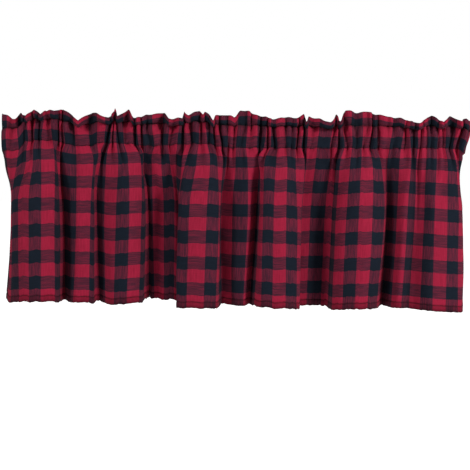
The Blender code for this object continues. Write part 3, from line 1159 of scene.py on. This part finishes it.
@dataclass(frozen=True)
class CheckedCotton:
    """Plain-woven cotton in a two-colour check: red squares, black squares and mixed ones between."""

    cloth: Cloth
    red: tuple[float, float, float] = (0.350, 0.0125, 0.043)
    black: tuple[float, float, float] = (0.0070, 0.0120, 0.0215)
    mixed_light: tuple[float, float, float] = (0.175, 0.0140, 0.035)
    mixed_dark: tuple[float, float, float] = (0.042, 0.0145, 0.030)
    threads: float = 30.0
    slub: float = 0.45
    streak: float = 1.5
    grain: float = 0.35
    bump: float = 0.35
    bump_height: float = 0.0004
    slub_height: float = 0.5
    roughness: float = 0.86
    specular: float = 0.12
    sheen: float = 0.02
    sheen_roughness: float = 0.5
    warp_share: tuple[float, float] = (0.2, 0.6)

    def build(self, name: str, checks_down: float, first_down: float) -> bpy.types.Material:
        """Makes the material for one piece.

        Args:
            name: the material's name.
            checks_down: how many checks the piece's flat map spans from its top to its lower edge.
            first_down: the count of checks down at the flat map's top edge. Even checks are red.

        Returns:
            The material. Its Principled shader takes its colour and bump from the check and the weave,
            its colour darkened by the painted shade that the mesh carries.
        """
        material = bpy.data.materials.new(name)
        material.use_nodes = True
        desk = NodeDesk(material.node_tree)
        surface = material.node_tree.nodes["Principled BSDF"]
        flat = desk.put("ShaderNodeUVMap", uv_map="flat_cloth")
        part = desk.put("ShaderNodeSeparateXYZ")
        desk.feed(part.inputs[0], flat.outputs[0])
        across = desk.math("MULTIPLY_ADD", part.outputs[0], self.cloth.checks, self.cloth.first_check)
        from_top = desk.math("SUBTRACT", 1.0, part.outputs[1])
        down = desk.math("MULTIPLY_ADD", from_top, checks_down, first_down)
        weave = desk.put("ShaderNodeGroup", node_tree=bpy.data.node_groups["plain weave"])
        desk.settle(weave, {"Across": across, "Down": down, "Threads": self.threads})
        warp_dark, weft_dark = self.band(desk, across), self.band(desk, down)
        both = desk.math("MULTIPLY", warp_dark, weft_dark)
        either = desk.math("MAXIMUM", warp_dark, weft_dark)
        across_streak = desk.math("MULTIPLY", weft_dark, weave.outputs["Weft streak"])
        rest = desk.math("SUBTRACT", 1.0, weft_dark)
        streak = desk.math("MULTIPLY_ADD", rest, weave.outputs["Warp streak"], across_streak)
        streak = desk.math("MULTIPLY", desk.math("SUBTRACT", streak, 0.5), self.streak)
        least, more = self.warp_share
        threads = desk.math("MULTIPLY_ADD", weave.outputs["Warp on top"], more, least)
        threads = desk.math("ADD", threads, streak)
        threads = desk.math("MAXIMUM", desk.math("MINIMUM", threads, 1.0), 0.0)
        mixed = desk.mix(threads, (*self.mixed_dark, 1.0), (*self.mixed_light, 1.0))
        colour = desk.mix(either, (*self.red, 1.0), mixed)
        colour = desk.mix(both, colour, (*self.black, 1.0))
        lit = desk.math("MULTIPLY_ADD", weave.outputs["Slub"], self.slub, 1.0 - 0.5 * self.slub)
        lit = desk.math("MULTIPLY", lit, desk.math("MULTIPLY_ADD", streak, self.grain, 1.0))
        # The mesh's shade attribute is painted shade; it darkens the colour together with the slubs and
        # streaks.
        kept = desk.put("ShaderNodeAttribute", attribute_name="shade")
        lit = desk.math("MULTIPLY", lit, kept.outputs["Fac"])
        tone_and_painted_shade = desk.put("ShaderNodeCombineColor")
        for socket in tone_and_painted_shade.inputs:
            desk.feed(socket, lit)
        relief = desk.math("MULTIPLY_ADD", weave.outputs["Slub"], self.slub_height, weave.outputs["Height"])
        bump = desk.put("ShaderNodeBump")
        desk.settle(bump, {"Strength": self.bump, "Distance": self.bump_height, "Height": relief})
        looks = {
            "Base Color": desk.mix(1.0, colour, tone_and_painted_shade.outputs[0], "MULTIPLY"),
            "Roughness": self.roughness,
            "Specular IOR Level": self.specular,
            "Sheen Weight": self.sheen,
            "Sheen Roughness": self.sheen_roughness,
            "Normal": bump.outputs[0],
        }
        desk.settle(surface, looks)
        return material

    def band(self, desk: NodeDesk, count: object) -> bpy.types.NodeSocket:
        """Gives 1 on dark bands, the odd checks, and 0 on red ones, the even checks."""
        half = desk.math("FRACT", desk.math("MULTIPLY", count, 0.5))
        return desk.math("GREATER_THAN", half, 0.5)


@dataclass(frozen=True)
class SewingThread:
    """Dark wine sewing thread, twisted and matt."""

    # The colours that the twist's bands and the tone noise mix: the dark in the grooves between the plies is
    # painted shade.
    light: tuple[float, float, float] = (0.070, 0.012, 0.020)
    dark: tuple[float, float, float] = (0.012, 0.006, 0.009)
    plies: float = 1400.0
    tone_scale: float = 60.0
    roughness: float = 0.7
    specular: float = 0.2
    bump: float = 0.4
    bump_height: float = 0.0001

    def build(self, name: str) -> bpy.types.Material:
        """Makes the thread: bands of twist run slantwise round it, with painted shade in their grooves, over
        a slow random change of tone.

        Args:
            name: the material's name.

        Returns:
            The material.
        """
        material = bpy.data.materials.new(name)
        material.use_nodes = True
        desk = NodeDesk(material.node_tree)
        surface = material.node_tree.nodes["Principled BSDF"]
        place = desk.put("ShaderNodeTexCoord").outputs["Object"]
        twist = desk.put("ShaderNodeTexWave", bands_direction="DIAGONAL")
        desk.settle(twist, {"Vector": place, "Scale": self.plies})
        tone = desk.put("ShaderNodeTexNoise")
        desk.settle(tone, {"Vector": place, "Scale": self.tone_scale})
        # The twist's bands darken the colour in the grooves between the plies, as painted shade; the tone
        # noise varies it at random.
        part = desk.math("MULTIPLY_ADD", twist.outputs["Fac"], 0.6, 0.4)
        part = desk.math("MULTIPLY", tone.outputs[0], part)
        bump = desk.put("ShaderNodeBump")
        height = twist.outputs["Fac"]
        desk.settle(bump, {"Strength": self.bump, "Distance": self.bump_height, "Height": height})
        looks = {
            "Base Color": desk.mix(part, (*self.dark, 1.0), (*self.light, 1.0)),
            "Roughness": self.roughness,
            "Specular IOR Level": self.specular,
            "Normal": bump.outputs[0],
        }
        desk.settle(surface, looks)
        return material

    def dress(self, piece: bpy.types.Object) -> None:
        """Gives a row of stitches its thread and its place in the model.

        Args:
            piece: the stitches.
        """
        piece.data.materials.append(self.build(piece.name.replace("_", " ")))
        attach(piece, BODY)


@dataclass(frozen=True)
class Studio:
    """The pale floor, the soft lights and the camera at the photograph's angle."""

    floor_level: float = -1.2
    floor_size: float = 40.0
    floor_glow: float = 1.0
    distance: float = 1.65
    elevation: float = 5.0
    roll: float = 0.95
    frame_width: float = 0.9118
    aim_height: float = -0.193
    sensor: float = 36.0
    room_light: float = 0.20
    floor_paint: tuple[float, float, float, float] = (0.93, 0.93, 0.93, 1.0)
    white: tuple[float, float, float, float] = (1.0, 1.0, 1.0, 1.0)
    lamps: tuple[tuple[str, tuple[float, float, float], float, float], ...] = (
        ("key", (1.9, -1.6, 0.9), 0.5, 48.0),
        ("fill", (-1.9, -1.6, 0.9), 0.5, 26.0),
    )

    def build(self) -> None:
        """Sets up the floor, the world, the lights and the camera."""
        self.lay_floor()
        self.light()
        self.place_camera()

    def lay_floor(self) -> None:
        """Lays a plain white floor that is not part of the valance."""
        half = self.floor_size / 2
        corners = [(-half, -half), (half, -half), (half, half), (-half, half)]
        mesh = bpy.data.meshes.new("floor")
        mesh.from_pydata([(x, y, self.floor_level) for x, y in corners], [], [(0, 1, 2, 3)])
        floor = bpy.data.objects.new("floor", mesh)
        bpy.context.scene.collection.objects.link(floor)
        paint = bpy.data.materials.new("pale floor")
        paint.use_nodes = True
        surface = paint.node_tree.nodes["Principled BSDF"]
        desk = NodeDesk(paint.node_tree)
        seen = desk.put("ShaderNodeLightPath").outputs["Is Camera Ray"]
        looks = {
            "Base Color": self.floor_paint,
            "Roughness": 0.9,
            "Emission Color": self.white,
            "Emission Strength": desk.math("MULTIPLY", seen, self.floor_glow),
        }
        desk.settle(surface, looks)
        mesh.materials.append(paint)

    def light(self) -> None:
        """Hangs large soft lights, the key from the right and above, in a white room."""
        world = bpy.context.scene.world or bpy.data.worlds.new("studio")
        bpy.context.scene.world = world
        world.use_nodes = True
        desk = NodeDesk(world.node_tree)
        seen = desk.put("ShaderNodeLightPath").outputs["Is Camera Ray"]
        room = world.node_tree.nodes["Background"]
        strength = desk.math("MULTIPLY_ADD", seen, 1.0 - self.room_light, self.room_light)
        desk.settle(room, {"Color": self.white, "Strength": strength})
        for name, place, size, power in self.lamps:
            lamp = bpy.data.lights.new(name, "AREA")
            lamp.shape, lamp.size, lamp.energy = "DISK", size, power
            self.hang(name, lamp, np.array(place), np.array((0.0, 0.0, self.aim_height)))

    def hang(
        self,
        name: str,
        data: bpy.types.ID,
        place: np.ndarray,
        target: np.ndarray,
        roll: float = 0.0,
    ) -> bpy.types.Object:
        """Puts a lamp or a camera at a place, facing a target.

        Args:
            name: the object's name.
            data: the lamp or camera.
            place: where it stands.
            target: the point that its -Z side faces.
            roll: its turn about its own Z axis, in degrees.

        Returns:
            The object.
        """
        away = (place - target) / np.linalg.norm(place - target)
        level = np.cross((0.0, 0.0, 1.0), away)
        level = level / np.linalg.norm(level)
        upright = np.cross(away, level)
        turn = np.radians(roll)
        pose = np.eye(4)
        pose[:3, 0] = np.cos(turn) * level + np.sin(turn) * upright
        pose[:3, 1] = np.cos(turn) * upright - np.sin(turn) * level
        pose[:3, 2], pose[:3, 3] = away, place
        holder = bpy.data.objects.new(name, data)
        bpy.context.scene.collection.objects.link(holder)
        holder.matrix_world = pose.T
        return holder

    def place_camera(self) -> None:
        """Sets the camera square to the valance, a little above it, with the photograph's slight roll."""
        camera = bpy.data.cameras.new("camera")
        camera.sensor_width = self.sensor
        camera.lens = self.sensor * self.distance / self.frame_width
        tilt = np.radians(self.elevation)
        target = np.array((0.0, 0.0, self.aim_height))
        place = target + self.distance * np.array((0.0, -np.cos(tilt), np.sin(tilt)))
        bpy.context.scene.camera = self.hang("camera", camera, place, target, self.roll)
        bpy.context.scene.view_settings.view_transform = "Standard"


def main() -> None:
    """Loads the frame, builds and dresses the valance and sets up the studio."""
    logging.basicConfig(level=logging.INFO, format="%(name)s: %(message)s")
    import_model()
    weave_group()
    cloth = Cloth()
    cotton, thread, stitching = CheckedCotton(cloth), SewingThread(), Stitching()
    for maker in (Skirt(cloth), Heading(cloth)):
        piece, stitches = maker.build(), maker.sew(stitching)
        maker.dress(piece, cotton)
        thread.dress(stitches)
        for made in (piece, stitches):
            log.info("%s: %d points", made.name, len(made.data.vertices))
    Studio().build()


if __name__ == "__main__":
    main()
